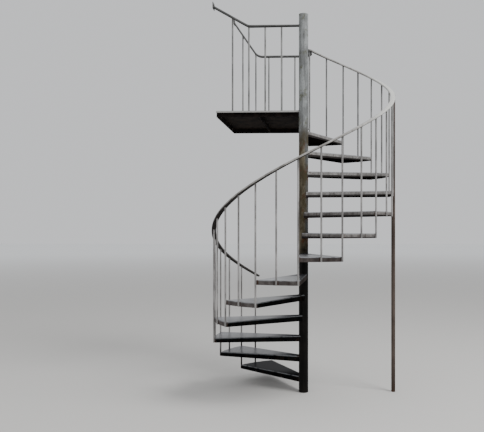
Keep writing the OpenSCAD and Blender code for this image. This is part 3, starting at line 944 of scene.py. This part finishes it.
# The first bar's distance from the pole, the pitch and the number of bars.
FRONT_BARS = (0.210, 0.157, 4)
BACK_BARS = (0.152, 0.147, 5)
CORNER_BAR = (-0.0055, 1.0757)
DECK_BEAD = 0.0006
CAP_BEAD = 0.0017
SEAT_STEPS = 12
SCREW_PITCH = 0.058
AHEAD = Vector((-1.0, 0.0, 0.0))
SIDEWAYS = Vector((0.0, 1.0, 0.0))

dress(painted_bars, "front_balusters", "back_balusters")
dress(painted_rail, "front_rail", "back_rail", "front_rail_plate", "back_rail_plate")


def climbing_path(y, bend, end, climb):
    """A level rail's bend upwards, its end on its plate and its direction there."""
    angle = math.atan(climb / (end - bend))
    start = -bend + RAIL_BEND * math.tan(angle / 2)
    path = []
    for step in range(CLIMB_STEPS + 1):
        bent = angle * step / CLIMB_STEPS
        path.append(Vector((
            start - RAIL_BEND * math.sin(bent), y, GUARD + RAIL_BEND * (1 - math.cos(bent)))))
    seat = Vector((-end + PLATE, y, GUARD + climb))
    return path, seat, Vector((-math.cos(angle), 0.0, math.sin(angle)))


def landing_rail(name, start, run, cuts):
    """One of the landing's rails, as a cap; gives its end and its direction there."""
    path, seat, along = climbing_path(**run)
    line = Drawing()
    line.line(*start, *path, seat)
    piece = cap.make(name + "_cap", line, "rail_paint", cuts=[*cuts, (seat, along, -AHEAD)],
                     Paint=painted_rail, Easing=NO_EASING, **cap_size)
    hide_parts(name)
    return seat, along


corner = Vector((rail_corner.x - RAIL_BEND, BACK_Y - RAIL_BEND, GUARD))
back_start = [rail_corner]
for step in range(CORNER_STEPS + 1):
    back_start.append(corner + on_circle(math.pi / 2 * step / CORNER_STEPS, RAIL_BEND, 0.0))
front_seat, front_along = landing_rail("front_rail", [FRONT_START], FRONT_RUN, [])
back_seat, back_along = landing_rail(
    "back_rail", back_start, BACK_RUN, [(rail_corner, SIDEWAYS, mitre, True)])


def landing_bar_tops():
    """Place of each bar's top on the landing, and the climb of the rail over it."""
    bars = []
    for (first, pitch, count), run in ((FRONT_BARS, FRONT_RUN), (BACK_BARS, BACK_RUN)):
        bars += [(-first - pitch * bar, run["y"], run) for bar in range(count)]
    bars.append((*CORNER_BAR, BACK_RUN))
    for x, y, run in bars:
        past_bend = -x - run["bend"]
        grade = run["climb"] / (run["end"] - run["bend"]) if past_bend > 0 else 0.0
        under = RAIL_UNDER * math.sqrt(1 + grade ** 2) + WELD_GAP
        yield Vector((x, y, GUARD + max(0.0, past_bend) * grade - under)), grade


deck_bar_welds = Drawing()
for head, grade in landing_bar_tops():
    foot = Vector((head.x, head.y, DECK_TOP + DECK_BEAD))
    deck_bar_welds.ring(head - UP * BEAD_OUT, BAR_R + BEAD_OUT, SIDEWAYS, AHEAD + UP * grade)
    deck_bar_welds.ring(foot, BAR_R + DECK_BEAD, SIDEWAYS, AHEAD)
weld_bead.make("deck_bar_welds", deck_bar_welds, "bar_paint",
               Paint=grey_weld, Bead=BAR_BEAD, Ripple=0.0030, Unevenness=0.6, Seed=6.0)

rail_welds = Drawing()
half_width = CAP_WIDTH / 2
for seat, along in ((front_seat, front_along), (back_seat, back_along)):
    lower = seat.z - RAIL_UNDER / abs(along.x)
    upper = lower + CAP_THICK / abs(along.x)
    x = seat.x + BEAD_PROUD
    rail_welds.line((x, seat.y - half_width + CAP_EDGE, upper), (x, seat.y + half_width - CAP_EDGE, upper))
    for y in (seat.y - half_width, seat.y + half_width):
        rail_welds.line((x, y, lower + CAP_EDGE), (x, y, upper - CAP_EDGE))


def on_pole(y, z):
    """A point of the weld between the front rail and the pole."""
    return -math.sqrt(POLE_R ** 2 - y ** 2) - BEAD_PROUD, y, z


cap_foot = GUARD - RAIL_UNDER
for height in (cap_foot, cap_foot + CAP_THICK):
    shares = [2 * step / SEAT_STEPS - 1 for step in range(SEAT_STEPS + 1)]
    spots = [FRONT_Y + (half_width - CAP_EDGE) * share for share in shares]
    rail_welds.line(*[on_pole(y, height) for y in spots])
for y in (FRONT_Y - half_width, FRONT_Y + half_width):
    rail_welds.line(on_pole(y, cap_foot + CAP_EDGE), on_pole(y, cap_foot + CAP_THICK - CAP_EDGE))
weld_bead.make("rail_welds", rail_welds, "rail_paint",
               Paint=grey_weld, Bead=CAP_BEAD, Ripple=0.0030, Unevenness=0.5, Seed=7.0)

screw_profile = [
    (0.0, 0.0), (0.0, 0.0060), (0.0014, 0.0059), (0.0027, 0.0049), (0.0036, 0.0032), (0.0038, 0.0022),
    (0.0036, 0.0020), (0.0016, 0.0017), (0.0014, 0.0)]
pan_screw = fastener_object("pan_screw", rusty_bolt, (screw_profile, 24))
screw_points = Drawing()
screw_points.points = [(seat.x, seat.y + side * SCREW_PITCH / 2, seat.z)
                       for seat in (front_seat, back_seat) for side in (-1, 1)]
fasteners.make("plate_screws", screw_points, "rail_paint", Paint=rusty_bolt, Fastener=pan_screw, Seed=8)
for template in (hex_bolt, pan_screw):
    bpy.data.objects.remove(template)
